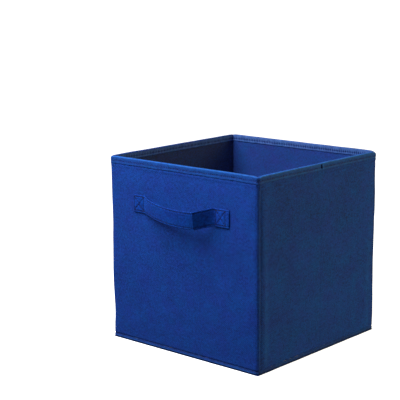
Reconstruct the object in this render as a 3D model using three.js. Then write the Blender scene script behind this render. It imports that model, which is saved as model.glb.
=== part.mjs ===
// Fabric storage bin: an open cube of nonwoven fabric over cardboard boards, with a strap
// handle on the front. Millimetres, +Z up, front towards -Y. The origin is on the floor,
// at the middle of the footprint, handle included.
//
// Each wall is a sandwich of an outer panel, a board and a lining, closed by a binding along
// the top and a sewn seam along the bottom. The two side walls are split down the middle, so
// the bin folds flat: the sides crease inwards and the back wall comes up to the front wall.

import * as THREE from 'three';
import { mergeVertices } from 'three/addons/utils/BufferGeometryUtils.js';

// ---- Driving dimensions ----

const WIDTH = 280;               // outer, over the bindings
const DEPTH = 280;               // outer, over the bindings, handle left out
const HEIGHT = 275;              // floor to the top of the binding
const GAP = 0.3;                 // clearance between pieces that lie against each other

const FABRIC = 0.5;              // one layer of nonwoven fabric
const BOARD = 2.2;               // grey cardboard stiffener
const BINDING_DROP = 10.5;       // how far the top binding reaches down each face
const BASE_SEAM_TOP = 6;         // height of the seam that joins the walls to the base cloth

const CORNER_WIDTH = 8;          // soft fabric at each vertical corner, along each wall
const CORNER_RADIUS = 4;
const CORNER_CLOTH = 2;          // thickness of the layers sewn together there
const CREASE_HALF = 3;           // half the soft strip between the two half boards of a side
const BOARD_MARGIN = 1.5;        // board edge inside its fabric pocket

const INSERT_SIZE = 264;         // removable base insert, square
const INSERT_BOARD = 2;

const STRAP_WIDTH = 26;
const STRAP_THICKNESS = 2;
const STRAP_Z = 211;             // height of the strap's centre line
const HANDLE_REACH = 31;         // how far the loop stands out from the front face
const STRAP_END = 89.6;          // outer end of each sewn tab, from the middle
const TAB_INNER_LEFT = 68.2;     // inner end of the left tab, from the middle
const TAB_INNER_RIGHT = 65.4;    // inner end of the right tab, from the middle
const DROOP = THREE.MathUtils.degToRad(9);  // how far the loop hangs below the horizontal
const GRIP_DEPTH = 16;           // the grip is the part of the loop that is further out than this

// ---- Layers across a wall, from the outer face inwards ----

const PANEL_FACE = FABRIC + GAP;
const BOARD_FACE = PANEL_FACE + FABRIC + GAP;
const LINING_FACE = BOARD_FACE + BOARD + GAP;
const BINDING_INNER_FACE = LINING_FACE + FABRIC + GAP;
const WALL = BINDING_INNER_FACE + FABRIC;

// ---- Heights ----

const BASE_CLOTH_TOP = FABRIC;
const WALL_BOTTOM = BASE_SEAM_TOP + GAP;
const PANEL_TOP = HEIGHT - FABRIC - GAP;

// ---- Materials ----

const fabricMaterial = (color, roughness = 0.85) =>
  new THREE.MeshStandardMaterial({ color, roughness, metalness: 0 });

const panelBlue = fabricMaterial(0x1a4396);
const liningBlue = fabricMaterial(0x1b3f8a);
const bindingBlue = fabricMaterial(0x2450a6, 0.75);
const seamBlue = fabricMaterial(0x1d3f83);
const cornerBlue = fabricMaterial(0x183a80);
const strapBlue = fabricMaterial(0x1b4499, 0.7);
const insertBlue = fabricMaterial(0x1a3a80);
const cardboard = fabricMaterial(0x8d877c, 0.95);

// ---- Helpers ----

/** A closed mesh from a geometry whose only needed attribute is its positions. */
function solid(name, geometry, material) {
  geometry.deleteAttribute('normal');
  geometry.deleteAttribute('uv');
  const merged = mergeVertices(geometry, 1e-4);
  merged.computeVertexNormals();
  const mesh = new THREE.Mesh(merged, material);
  mesh.name = name;
  return mesh;
}

/** A rectangular sheet or board between two limits on each axis. */
function slab(name, [x0, x1], [y0, y1], [z0, z1], material) {
  const mesh = solid(name, new THREE.BoxGeometry(x1 - x0, y1 - y0, z1 - z0), material);
  mesh.position.set((x0 + x1) / 2, (y0 + y1) / 2, (z0 + z1) / 2);
  return mesh;
}

/** An outline in the XY plane, raised from z0 to z1. */
function prism(name, shape, z0, z1, material) {
  const settings = { depth: z1 - z0, bevelEnabled: false, curveSegments: 5 };
  const geometry = new THREE.ExtrudeGeometry(shape, settings);
  const mesh = solid(name, geometry, material);
  mesh.position.z = z0;
  return mesh;
}

/** An outline in the YZ plane of a wall, run along the wall from x0 to x1. */
function runAlongWall(name, points, x0, x1, material) {
  const shape = new THREE.Shape(points.map(([y, z]) => new THREE.Vector2(y, z)));
  const geometry = new THREE.ExtrudeGeometry(shape, { depth: x1 - x0, bevelEnabled: false });
  // The extrusion runs along Z; a third of a turn about (1, 1, 1) takes (y, z, x) to (x, y, z).
  geometry.applyMatrix4(new THREE.Matrix4().makeBasis(
    new THREE.Vector3(0, 1, 0), new THREE.Vector3(0, 0, 1), new THREE.Vector3(1, 0, 0)));
  const mesh = solid(name, geometry, material);
  mesh.position.x = x0;
  return mesh;
}

// ---- Walls ----
// A wall is drawn with its outer face on Y = 0 and its thickness towards +Y.

/** The layers of one wall, or of one half of a side wall, from x0 to x1. */
function wallSection(name, x0, x1, seamReach = 0) {
  const group = new THREE.Group();
  const cloth = [x0, x1];
  const layer = (face, thickness) => [face, face + thickness];
  const board = [x0 + BOARD_MARGIN, x1 - BOARD_MARGIN];
  const upright = [WALL_BOTTOM, PANEL_TOP];
  group.add(slab(`${name}_outer_panel`, cloth, layer(PANEL_FACE, FABRIC), upright, panelBlue));
  group.add(slab(`${name}_board`, board, layer(BOARD_FACE, BOARD), upright, cardboard));
  group.add(slab(`${name}_lining`, cloth, layer(LINING_FACE, FABRIC), upright, liningBlue));

  const drop = HEIGHT - BINDING_DROP;
  const binding = [
    [0, drop], [FABRIC, drop], [FABRIC, HEIGHT - FABRIC], [BINDING_INNER_FACE, HEIGHT - FABRIC],
    [BINDING_INNER_FACE, drop], [WALL, drop], [WALL, HEIGHT], [0, HEIGHT],
  ];
  group.add(runAlongWall(`${name}_top_binding`, binding, x0, x1, bindingBlue));
  group.add(slab(`${name}_base_seam`, [x0 - seamReach, x1 + seamReach], [PANEL_FACE, LINING_FACE + FABRIC],
    [BASE_CLOTH_TOP + GAP, BASE_SEAM_TOP], seamBlue));
  return group;
}

/** The soft fabric round a vertical corner, drawn with the corner at the origin. */
function cornerBand(name) {
  const end = CORNER_WIDTH - GAP;
  const inner = PANEL_FACE + CORNER_CLOTH;
  const innerRadius = CORNER_RADIUS - CORNER_CLOTH;
  const round = PANEL_FACE + CORNER_RADIUS;
  const shape = new THREE.Shape();
  shape.moveTo(end, PANEL_FACE);
  shape.lineTo(end, inner);
  shape.lineTo(round, inner);
  shape.absarc(round, round, innerRadius, 1.5 * Math.PI, Math.PI, true);
  shape.lineTo(inner, end);
  shape.lineTo(PANEL_FACE, end);
  shape.lineTo(PANEL_FACE, round);
  shape.absarc(round, round, CORNER_RADIUS, Math.PI, 1.5 * Math.PI, false);
  shape.closePath();
  return prism(name, shape, WALL_BOTTOM, HEIGHT, cornerBlue);
}

/** The soft strip between the two half boards of a side wall. */
function creaseBand(name) {
  const reach = CREASE_HALF - GAP;
  return slab(name, [-reach, reach], [PANEL_FACE, LINING_FACE + FABRIC],
    [BASE_CLOTH_TOP + GAP, HEIGHT - FABRIC], cornerBlue);
}

const bin = new THREE.Group();
bin.position.y = (HANDLE_REACH - DEPTH) / 2;

/** Sets a wall or corner drawn about the origin against one side of the bin. */
function place(object, x, y, quarterTurns) {
  const holder = new THREE.Group();
  holder.position.set(x, y, 0);
  holder.rotation.z = quarterTurns * Math.PI / 2;
  holder.add(object);
  bin.add(holder);
}

const wallEnd = WIDTH / 2 - CORNER_WIDTH;
const sideEnd = DEPTH / 2 - CORNER_WIDTH;
const seamRoundCorner = CORNER_WIDTH - PANEL_FACE;

place(wallSection('front', -wallEnd, wallEnd, seamRoundCorner), 0, 0, 0);
place(wallSection('back', -wallEnd, wallEnd, seamRoundCorner), 0, DEPTH, 2);
place(wallSection('left_front', CREASE_HALF, sideEnd), -WIDTH / 2, DEPTH / 2, -1);
place(wallSection('left_back', -sideEnd, -CREASE_HALF), -WIDTH / 2, DEPTH / 2, -1);
place(wallSection('right_front', -sideEnd, -CREASE_HALF), WIDTH / 2, DEPTH / 2, 1);
place(wallSection('right_back', CREASE_HALF, sideEnd), WIDTH / 2, DEPTH / 2, 1);
place(creaseBand('left_side_crease'), -WIDTH / 2, DEPTH / 2, -1);
place(creaseBand('right_side_crease'), WIDTH / 2, DEPTH / 2, 1);

place(cornerBand('front_left_corner'), -WIDTH / 2, 0, 0);
place(cornerBand('front_right_corner'), WIDTH / 2, 0, 1);
place(cornerBand('back_right_corner'), WIDTH / 2, DEPTH, 2);
place(cornerBand('back_left_corner'), -WIDTH / 2, DEPTH, 3);

// ---- Base: the sewn cloth underneath, and the loose insert that holds the walls apart ----

const baseX = [PANEL_FACE - WIDTH / 2, WIDTH / 2 - PANEL_FACE];
const baseY = [PANEL_FACE, DEPTH - PANEL_FACE];
bin.add(slab('base_cloth', baseX, baseY, [0, BASE_CLOTH_TOP], seamBlue));

/** The insert's fabric top: a shallow cap whose rim comes down round the edge of the board. */
function insertCap(name, z0, z1) {
  const half = INSERT_SIZE / 2;
  const inner = half - FABRIC;
  const top = z1 - FABRIC;
  const rings = [[half, z0], [half, z1], [inner, z0], [inner, top]];
  const corner = [[-1, -1], [1, -1], [1, 1], [-1, 1]];
  const positions = rings.flatMap(([r, z]) => corner.flatMap(([x, y]) => [x * r, y * r, z]));
  const [outerLow, outerHigh, innerLow, innerHigh] = [0, 4, 8, 12];
  const index = [];
  const quad = (a, b, c, d) => index.push(a, b, c, a, c, d);
  for (let i = 0; i < 4; i += 1) {
    const j = (i + 1) % 4;
    quad(outerLow + i, outerLow + j, outerHigh + j, outerHigh + i);
    quad(innerLow + j, innerLow + i, innerHigh + i, innerHigh + j);
    quad(outerLow + j, outerLow + i, innerLow + i, innerLow + j);
  }
  quad(outerHigh, outerHigh + 1, outerHigh + 2, outerHigh + 3);
  quad(innerHigh + 3, innerHigh + 2, innerHigh + 1, innerHigh);
  const geometry = new THREE.BufferGeometry();
  geometry.setAttribute('position', new THREE.Float32BufferAttribute(positions, 3));
  geometry.setIndex(index);
  return solid(name, geometry, insertBlue);
}

const insert = new THREE.Group();
insert.position.set(0, DEPTH / 2, BASE_CLOTH_TOP + GAP);
const insertCloth = [-INSERT_SIZE / 2, INSERT_SIZE / 2];
const insertCore = INSERT_SIZE / 2 - FABRIC - GAP;
const coreBottom = FABRIC + GAP;
const coreTop = coreBottom + INSERT_BOARD;
insert.add(slab('insert_bottom_cover', insertCloth, insertCloth, [0, FABRIC], insertBlue));
insert.add(slab('insert_board', [-insertCore, insertCore], [-insertCore, insertCore],
  [coreBottom, coreTop], cardboard));
insert.add(insertCap('insert_top_cover', coreBottom, coreTop + GAP + FABRIC));
bin.add(insert);

// ---- Handle: one strap, sewn flat at both ends, with a loop between them ----
// The loop is drawn in plan (x along the wall, depth away from it) with the strap upright.
// Each section is then turned down about the line between the two tabs, fully where the
// strap is clear of the wall and not at all where it meets a tab.

const strapFace = PANEL_FACE - GAP;
const strapMiddle = strapFace - STRAP_THICKNESS / 2;
const point = (x, depth) => new THREE.Vector2(x, depth);
const CREASE = point(46.8, 25.8);
const outwardRun = new THREE.CubicBezierCurve(
  point(-TAB_INNER_LEFT, 0), point(-35, 20), point(10, 32.7), CREASE);
const returnRun = new THREE.CubicBezierCurve(
  CREASE, point(50.5, 19), point(57.5, 1.5), point(TAB_INNER_RIGHT, 0));
const FULL_DROOP_DEPTH = 10;

/** Every sampled section of the loop, from the left tab to the right one. */
function loopSections() {
  const outward = outwardRun.getSpacedPoints(28);
  const back = returnRun.getSpacedPoints(10);
  const centres = [...outward, ...back.slice(1)];
  return centres.map((centre, i) => {
    const before = centres[Math.max(i - 1, 0)];
    const after = centres[Math.min(i + 1, centres.length - 1)];
    const normal = new THREE.Vector2(before.y - after.y, after.x - before.x).normalize();
    const droop = DROOP * THREE.MathUtils.smoothstep(centre.y, 0, FULL_DROOP_DEPTH);
    return { centre, normal, droop };
  });
}

/** A closed strap through some of the loop's sections. */
function strapRun(name, sections) {
  const half = STRAP_THICKNESS / 2;
  const edge = STRAP_WIDTH / 2;
  const sides = [[half, -edge], [-half, -edge], [-half, edge], [half, edge]];
  const positions = [];
  for (const { centre, normal, droop } of sections) {
    for (const [outwards, up] of sides) {
      const x = centre.x + normal.x * outwards;
      const depth = centre.y + normal.y * outwards;
      const y = -(depth * Math.cos(droop) + up * Math.sin(droop));
      const z = up * Math.cos(droop) - depth * Math.sin(droop);
      positions.push(x, strapMiddle + y, STRAP_Z + z);
    }
  }
  const index = [];
  const quad = (a, b, c, d) => index.push(a, b, c, a, c, d);
  const last = (sections.length - 1) * 4;
  for (let i = 0; i < last; i += 4) {
    for (let side = 0; side < 4; side += 1) {
      const next = (side + 1) % 4;
      quad(i + side, i + next, i + 4 + next, i + 4 + side);
    }
  }
  quad(3, 2, 1, 0);
  quad(last, last + 1, last + 2, last + 3);
  const geometry = new THREE.BufferGeometry();
  geometry.setAttribute('position', new THREE.Float32BufferAttribute(positions, 3));
  geometry.setIndex(index);
  return solid(name, geometry, strapBlue);
}

/** Two sections that stop short of a cut, one on each side of it, by half the gap. */
function cutBetween(first, second) {
  const middle = first.centre.clone().add(second.centre).multiplyScalar(0.5);
  const along = second.centre.clone().sub(first.centre).normalize().multiplyScalar(GAP / 2);
  const normal = new THREE.Vector2(-along.y, along.x).normalize();
  const droop = (first.droop + second.droop) / 2;
  return [
    { centre: middle.clone().sub(along), normal, droop },
    { centre: middle.clone().add(along), normal, droop },
  ];
}

const sections = loopSections();
const firstOut = sections.findIndex((section) => section.centre.y > GRIP_DEPTH);
const lastOut = sections.findLastIndex((section) => section.centre.y > GRIP_DEPTH);
const [leftRiserEnd, gripStart] = cutBetween(sections[firstOut - 1], sections[firstOut]);
const [gripEnd, rightRiserStart] = cutBetween(sections[lastOut], sections[lastOut + 1]);
const flat = (x) => ({ centre: point(x, 0), normal: point(0, 1), droop: 0 });

const tabY = [strapFace - STRAP_THICKNESS, strapFace];
const tabZ = [STRAP_Z - STRAP_WIDTH / 2, STRAP_Z + STRAP_WIDTH / 2];
bin.add(slab('handle_tab_left', [-STRAP_END, -TAB_INNER_LEFT - GAP], tabY, tabZ, strapBlue));
bin.add(slab('handle_tab_right', [TAB_INNER_RIGHT + GAP, STRAP_END], tabY, tabZ, strapBlue));
bin.add(strapRun('handle_riser_left',
  [flat(-TAB_INNER_LEFT), ...sections.slice(1, firstOut), leftRiserEnd]));
bin.add(strapRun('handle_grip', [gripStart, ...sections.slice(firstOut, lastOut + 1), gripEnd]));
bin.add(strapRun('handle_riser_right',
  [rightRiserStart, ...sections.slice(lastOut + 1, -1), flat(TAB_INNER_RIGHT)]));

export default bin;
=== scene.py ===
"""A fabric storage bin: blue nonwoven cloth over boards, bound along the rim, with a strap handle.

The bin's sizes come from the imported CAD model. Lengths are in millimetres until a mesh is
made. The walls are drawn on an outline: s is the distance round the bin, counter-clockwise from
the front left corner, and depth is how far a layer lies inside the outer face.
"""

import math
import random

import bpy
import numpy as np
from mathutils import Matrix, Vector


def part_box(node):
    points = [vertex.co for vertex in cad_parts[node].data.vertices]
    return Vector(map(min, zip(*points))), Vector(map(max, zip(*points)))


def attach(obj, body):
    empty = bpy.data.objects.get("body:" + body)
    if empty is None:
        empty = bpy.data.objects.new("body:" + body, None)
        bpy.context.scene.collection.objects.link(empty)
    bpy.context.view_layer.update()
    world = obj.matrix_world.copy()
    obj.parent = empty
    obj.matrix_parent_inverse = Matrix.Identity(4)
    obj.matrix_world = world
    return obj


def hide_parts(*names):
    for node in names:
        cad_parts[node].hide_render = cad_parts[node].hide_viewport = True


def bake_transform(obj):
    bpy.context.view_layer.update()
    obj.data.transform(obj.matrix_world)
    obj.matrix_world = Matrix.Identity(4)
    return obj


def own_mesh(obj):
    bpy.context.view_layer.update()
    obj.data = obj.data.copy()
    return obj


MM = 0.001

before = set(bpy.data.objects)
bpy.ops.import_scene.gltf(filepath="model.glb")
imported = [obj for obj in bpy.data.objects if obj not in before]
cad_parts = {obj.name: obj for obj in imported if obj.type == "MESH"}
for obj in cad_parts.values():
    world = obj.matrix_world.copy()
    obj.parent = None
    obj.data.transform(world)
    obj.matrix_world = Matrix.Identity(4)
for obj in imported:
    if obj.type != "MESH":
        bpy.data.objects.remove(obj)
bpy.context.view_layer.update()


def box_mm(node):
    """The lowest and highest corner of a CAD node, in millimetres."""
    low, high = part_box(node)
    return low / MM, high / MM


# ---- Sizes from the frame ----

HEM_LOW, HEM_HIGH = box_mm("front_top_binding")
LEFT = box_mm("left_front_top_binding")[0].x
RIGHT = box_mm("right_front_top_binding")[1].x
FRONT = HEM_LOW.y
BACK = box_mm("back_top_binding")[1].y
WIDTH = RIGHT - LEFT
DEPTH = BACK - FRONT
TOP = HEM_HIGH.z
HEM_BOTTOM = HEM_LOW.z
WALL = HEM_HIGH.y - FRONT
PANEL_DEPTH = box_mm("front_outer_panel")[0].y - FRONT
PANEL_BOTTOM = box_mm("front_outer_panel")[0].z
LINING_DEPTH = box_mm("front_lining")[0].y - FRONT
CLOTH = box_mm("front_lining")[1].y - FRONT - LINING_DEPTH
CORNER = HEM_LOW.x - LEFT
CREASE_START = box_mm("right_front_outer_panel")[1].y - FRONT
CREASE_END = box_mm("right_back_outer_panel")[0].y - FRONT
MIDDLE = (CREASE_START + CREASE_END) / 2         # the fold half-way along a side wall
PERIMETER = 2 * (WIDTH + DEPTH)

# ---- The outline of the bin, seen from above ----

ROUND = 5.6                      # radius of a vertical corner, to the outer face
SIDE_LENGTHS = np.array([WIDTH, DEPTH, WIDTH, DEPTH])
SIDE_STARTS = np.array([0, WIDTH, WIDTH + DEPTH, 2 * WIDTH + DEPTH])
SIDE_CORNERS = np.array([(LEFT, FRONT), (RIGHT, FRONT), (RIGHT, BACK), (LEFT, BACK)])
SIDE_ALONG = np.array([(1, 0), (0, 1), (-1, 0), (0, -1)])
SIDE_OUT = np.array([(0, -1), (1, 0), (0, 1), (-1, 0)])
CORNER_PLACES = np.append(SIDE_STARTS, PERIMETER)
FAR = WIDTH + DEPTH                             # the back right corner
LAST = FAR + WIDTH                              # the back left corner
CORNER_MIRROR = np.array([-1, 1, -1, 1, -1])    # which way the side wall lies from each corner
CORNER_DENT = np.array([0.45, 1.0, 0.7, 0.7, 0.45])
CORNER_SHADE = np.array([0.15, 1.0, 0.5, 0.5, 0.15])    # how much shade is painted in the strip along each corner
CORNER_HIGHLIGHT = np.array([0.35, 0.0, 0.1, 0.1, 0.35])      # how strong a painted highlight is on the edge of each corner
# Folds of the cloth along a vertical corner: how deep, how far along the side wall, and how wide.
CORNER_FOLDS = ((0.4, 0.9, 1.2), (1.4, 6.8, 2.6), (-0.5, 16.5, 4.0), (0.3, -4.4, 1.6))
FOLD_GAP = 0.1                   # cloth stays this far inside a wall's faces, which meet when folded
RIM_DROP = np.array([1.6, 1.2, 3.2, 0.6, 1.6])  # the rim hangs a little where no board holds it


def outline(s, depth):
    """The points at distances s round the bin, this deep inside its outer face."""
    s, depth = np.broadcast_arrays(np.asarray(s, float) % PERIMETER, depth)
    side = np.searchsorted(SIDE_STARTS, s, side="right") - 1
    run = s - SIDE_STARTS[side]
    left_over = SIDE_LENGTHS[side] - run
    turn = np.where(run < ROUND, run / ROUND - 1, 0) + np.where(left_over < ROUND, 1 - left_over / ROUND, 0)
    turn = turn * math.pi / 4
    along = SIDE_ALONG[side]
    out = SIDE_OUT[side]
    facing = out * np.cos(turn)[..., None] + along * np.sin(turn)[..., None]
    straight = np.clip(run, ROUND, SIDE_LENGTHS[side] - ROUND)
    foot = SIDE_CORNERS[side] + along * straight[..., None] - out * ROUND
    return foot + facing * (ROUND - depth)[..., None]


def bump(x, centre, reach):
    """A smooth hill, 1 high at its centre."""
    return np.exp(-((x - centre) / reach) ** 2)


def step(x, low, high):
    """0 below low, 1 above high, and smooth between."""
    t = np.clip((x - low) / (high - low), 0, 1)
    return t * t * (3 - 2 * t)


def random_field(seed, longest, shortest, count=14):
    """A smooth random height over (s, z) with these wavelengths. It closes on itself round the bin."""
    draw = random.Random(seed)
    waves = []
    for _ in range(count):
        length = longest * (shortest / longest) ** draw.random()
        angle = draw.uniform(0, math.tau)
        turns = round(PERIMETER * math.cos(angle) / length)
        waves.append((turns / PERIMETER, math.sin(angle) / length, draw.uniform(0, math.tau)))

    def height(s, z):
        total = sum(np.cos(math.tau * (a * s + b * z) + phase) for a, b, phase in waves)
        return total / math.sqrt(count)

    return height


slack = random_field(1, 220, 70)
ripple = random_field(2, 60, 24)
pucker = random_field(3, 17, 8)
lining_slack = random_field(4, 200, 60)
rim_wander = random_field(5, 150, 40)


def from_corner(s):
    """How far s is from the nearest corner, positive on the side wall, and which corner that is."""
    s = np.asarray(s, float) % PERIMETER
    which = np.argmin(np.abs(s[..., None] - CORNER_PLACES), axis=-1)
    return (s - CORNER_PLACES[which]) * CORNER_MIRROR[which], which


# ---- Handle: one strap, sewn flat at both ends ----

TAB_LOW, TAB_HIGH = box_mm("handle_tab_left")
STRAP_END = box_mm("handle_tab_right")[1].x
STRAP_WIDTH = TAB_HIGH.z - TAB_LOW.z
STRAP_Z = (TAB_HIGH.z + TAB_LOW.z) / 2
STRAP_Y = (TAB_HIGH.y + TAB_LOW.y) / 2
STRAP_HALF = (TAB_HIGH.y - TAB_LOW.y) / 2
STRAP_EDGE = STRAP_WIDTH / 2
STRAP_STITCH = STRAP_EDGE - 2.7  # stitch rows, from the strap's centre line
STITCH_RADIUS = 0.32             # of the strap's and the insert's thread
STITCH_SUNK = 0.34               # how far its middle lies below the strap's face
BOX_LEFT = (-88.3, -69.4)        # each stitched box, along the front
BOX_RIGHT = (66.6, 83.6)
STRAP_CREASE = (46.8, 25.8)      # along the front, and out from it
OUTWARD_RUN = ((-68.2, 0), (-35, 20), (10, 32.7), STRAP_CREASE)
RETURN_RUN = (STRAP_CREASE, (51.5, 17.5), (60.8, 1.9), (65.4, 0))
DROOP = math.radians(9)
FULL_DROOP = 10                  # how far out the strap has its whole droop


# ---- The shape of each layer of a wall ----

def free_of_edges(z):
    """1 in the middle of a wall, 0 where the hem and the base seam hold the cloth."""
    return step(z, PANEL_BOTTOM, PANEL_BOTTOM + 30) * step(TOP - z, TOP - HEM_BOTTOM, 42)


def by_the_tabs(s, z):
    """1 under a sewn end of the handle, where the strap holds the cloth flat."""
    x = s + LEFT
    near_box = sum(bump(x, sum(box) / 2, 17) for box in (BOX_LEFT, BOX_RIGHT))
    return near_box * bump(z, STRAP_Z, 21) * (s < WIDTH)


def panel_depth(s, z):
    """Outer face of the outer cloth."""
    c, which = from_corner(s)
    loose = np.clip(0.35 + 0.45 * slack(s, z) + 0.14 * ripple(s, z), 0, 1.3)
    proud = loose * free_of_edges(z) * (1 - 0.85 * np.clip(by_the_tabs(s, z), 0, 1))
    wrinkled = 0.13 * pucker(s, z)
    proud = proud + wrinkled * (bump(z, HEM_BOTTOM, 11) + 0.8 * bump(z, PANEL_BOTTOM, 9))
    proud = proud + 0.4 * bump(z, HEM_BOTTOM - 2.6, 1.4)   # swells out below the hem
    proud = proud + 0.5 * bump(c, 0, 11) * slack(s * 3, z * 1.4) * free_of_edges(z)
    folds = sum(deep * bump(c, place, reach) for deep, place, reach in CORNER_FOLDS)
    dent = folds * CORNER_DENT[which] * (1 + 0.2 * ripple(s * 0, z))
    dent = dent + side_crease(s, 2.2) * (0.35 + 0.1 * ripple(s, z))
    dent = dent + 0.28 * bump(s, WIDTH / 2 + 1, 1.3) * bump(z, TOP - 23, 7) * (s < WIDTH)
    turned_in = 0.9 * (1 - step(z, PANEL_BOTTOM - 0.5, PANEL_BOTTOM + 1.6))
    depth = PANEL_DEPTH - proud + dent * (0.35 + 0.65 * free_of_edges(z)) + turned_in
    return np.where(c > 0, np.maximum(depth, FOLD_GAP), depth)


def side_crease(s, reach):
    """1 on the fold half-way along each side wall."""
    s = np.asarray(s, float) % PERIMETER
    return bump(s, WIDTH + MIDDLE, reach) + bump(s, PERIMETER - MIDDLE, reach)


def lining_depth(s, z):
    """Face of the lining that shows inside the bin."""
    c, _ = from_corner(s)
    loose = np.clip(0.3 + 0.45 * lining_slack(s, z) + 0.12 * ripple(s + 40, z), 0, 1.4)
    held = 1 - 0.75 * bump(c, 0, 8)
    gathered = 0.12 * pucker(s + 90, z) * bump(z, HEM_BOTTOM, 10)
    crease = 0.3 * side_crease(s, 1.8)
    depth = LINING_DEPTH + CLOTH + loose * free_of_edges(z) * held + gathered * held - crease
    return np.minimum(depth, WALL - FOLD_GAP)


def on_left_wall(s):
    """1 on the left wall, easing to 0 at its two corners."""
    s = np.asarray(s, float) % PERIMETER
    return step(s, LAST - 2, LAST + 2) * step(PERIMETER - s, 0, 6)


def rim_drop(s):
    """How far the rim hangs below its full height."""
    c, which = from_corner(s)
    return RIM_DROP[which] * bump(c, 0, 6.5) + 0.22 * (1 + rim_wander(s, 0)) / 2


# ---- Building meshes ----

def xyz(x, y, z):
    """Points, or places on the cloth, from their three parts."""
    return np.stack(np.broadcast_arrays(x, y, z), axis=-1)


def unit(v):
    return v / np.linalg.norm(v, axis=-1, keepdims=True)


def new_object(name, data):
    obj = bpy.data.objects.new(name, data)
    bpy.context.scene.collection.objects.link(obj)
    return obj


class Piece:
    """Collects the faces of one piece. Each vertex keeps its place on the cloth, for the material: the
    distance along, the distance up, and the light and shade painted there, with any rubbing."""

    def __init__(self):
        self.points = []
        self.places = []
        self.faces = []
        self.kinds = []
        self.count = 0

    def add(self, points, places, faces, kind=0):
        self.points.append(np.asarray(points, float).reshape(-1, 3))
        self.places.append(np.asarray(places, float).reshape(-1, 3))
        self.faces.extend([tuple(i + self.count for i in face) for face in faces])
        self.kinds.extend([kind] * len(faces))
        self.count += len(self.points[-1])

    def shell(self, outer, inner, places):
        """A thin closed sheet between two grids of points, seen from outside with i to the right."""
        columns, rows = outer.shape[:2]
        places = np.broadcast_to(places, outer.shape)
        self.add(np.stack([outer, inner]), np.stack([places, places]), shell_faces(columns, rows))

    def stitch(self, start, end, up, place, kind=1, radius=STITCH_RADIUS):
        """One stitch of thread from start to end, lying on a surface that faces up."""
        length = np.linalg.norm(end - start)
        along = (end - start) / length
        side = unit(np.cross(up, along))
        up = np.cross(along, side)
        shape = STITCH_POINTS * (length, radius, radius)
        points = (start + end) / 2 + shape @ np.array([along, side, up])
        places = np.array(place) + STITCH_POINTS * (length, 1, 0) * (1, 1, 0)
        self.add(points, places, STITCH_FACES, kind)

    def build(self, name, *materials):
        mesh = bpy.data.meshes.new(name)
        mesh.from_pydata(np.concatenate(self.points) * MM, [], self.faces)
        for material in materials:
            mesh.materials.append(material)
        mesh.polygons.foreach_set("material_index", self.kinds)
        mesh.polygons.foreach_set("use_smooth", [True] * len(self.faces))
        mesh.set_sharp_from_angle(angle=math.radians(48))
        place = mesh.attributes.new("cloth_place", "FLOAT_VECTOR", "POINT")
        place.data.foreach_set("vector", np.concatenate(self.places).ravel())
        return new_object(name, mesh)


def shell_faces(columns, rows):
    """Faces of two grids of vertices, the second behind the first, closed round their edges."""
    count = columns * rows
    front = np.arange(count).reshape(columns, rows)
    behind = front + count
    faces = quads(front[:-1, :-1], front[1:, :-1], front[1:, 1:], front[:-1, 1:])
    faces += quads(behind[:-1, 1:], behind[1:, 1:], behind[1:, :-1], behind[:-1, :-1])
    ring = np.concatenate([front[:-1, 0], front[-1, :-1], front[:0:-1, -1], front[0, :0:-1]])
    after = np.roll(ring, -1)
    return faces + quads(ring, ring + count, after + count, after)


def quads(a, b, c, d):
    return np.stack([a.ravel(), b.ravel(), c.ravel(), d.ravel()], axis=1).tolist()


def stitch_template(sides=6):
    """A stitch 1 long along X and 2 across: a short bar with rounded ends."""
    rings = [(-0.4, 0.75), (-0.2, 1), (0.2, 1), (0.4, 0.75)]
    angles = [math.tau * k / sides for k in range(sides)]
    bar = [(x, radius * math.cos(a), radius * math.sin(a)) for x, radius in rings for a in angles]
    points = [(-0.5, 0, 0), *bar, (0.5, 0, 0)]
    last = len(points) - 1
    faces = []
    for k in range(sides):
        after = (k + 1) % sides
        faces.append((0, 1 + after, 1 + k))
        for ring in range(len(rings) - 1):
            low = 1 + ring * sides
            faces.append((low + k, low + after, low + sides + after, low + sides + k))
        faces.append((last - sides + k, last - sides + after, last))
    return np.array(points), faces


STITCH_POINTS, STITCH_FACES = stitch_template()


def stations(start, end, fine, coarse):
    """Distances from start to end round the bin, closer together near a corner."""
    places = [start]
    while places[-1] < end:
        near = min(abs(float(from_corner(places[-1] + ahead)[0])) for ahead in (0, fine))
        reach = min(max((near - 9) / 14, 0), 1)
        places.append(places[-1] + fine + (coarse - fine) * reach)
    places = np.array(places)
    return start + (places - start) * (end - start) / (places[-1] - start)


# Heights of the rows of a panel, closer together where the hem and the base seam hold it.
ROWS = np.concatenate([
    PANEL_BOTTOM + np.array([-0.5, 0, 0.5, 1.1, 1.8, 3, 4.5, 6.5, 9, 12]),
    np.linspace(PANEL_BOTTOM + 16, HEM_BOTTOM - 16, 62),
    HEM_BOTTOM - np.array([13, 10.5, 8.5, 6.5, 4.8, 3.2, 2, 1, 0.3, -1, -2.6]),
])


def hidden_face(depth, height):
    """Depth and height of the inner face of a bound strip, from those of its outer face."""
    tangent = unit(np.gradient(np.stack([depth, height], axis=-1), axis=1))
    return depth + CLOTH * tangent[..., 1], height - CLOTH * tangent[..., 0]


def on_outline(s, depth, z):
    """Points in space from distances round the bin, depths and heights."""
    plan = outline(s, depth)
    return xyz(plan[..., 0], plan[..., 1], z)


def sheet_of_wall(start, end, face, thickness, wear_and_light):
    """One layer of cloth on a wall. face(s, z) is its depth, and thickness runs inwards."""
    s, z = np.meshgrid(stations(start, end, 0.8, 3.0), ROWS, indexing="ij")
    depth = face(s, z)
    piece = Piece()
    outer = on_outline(s, depth + min(thickness, 0), z)
    inner = on_outline(s, depth + max(thickness, 0), z)
    piece.shell(outer, inner, xyz(s, z, wear_and_light(s, z)))
    return piece


# ---- Hem ----

STITCH_PITCH = PERIMETER / 330
HEM_STITCH = 6.0                 # the stitch row, below the rim
HEM_TURN = 0.55                  # the share of the section after which the cloth's inner side shows
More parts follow.
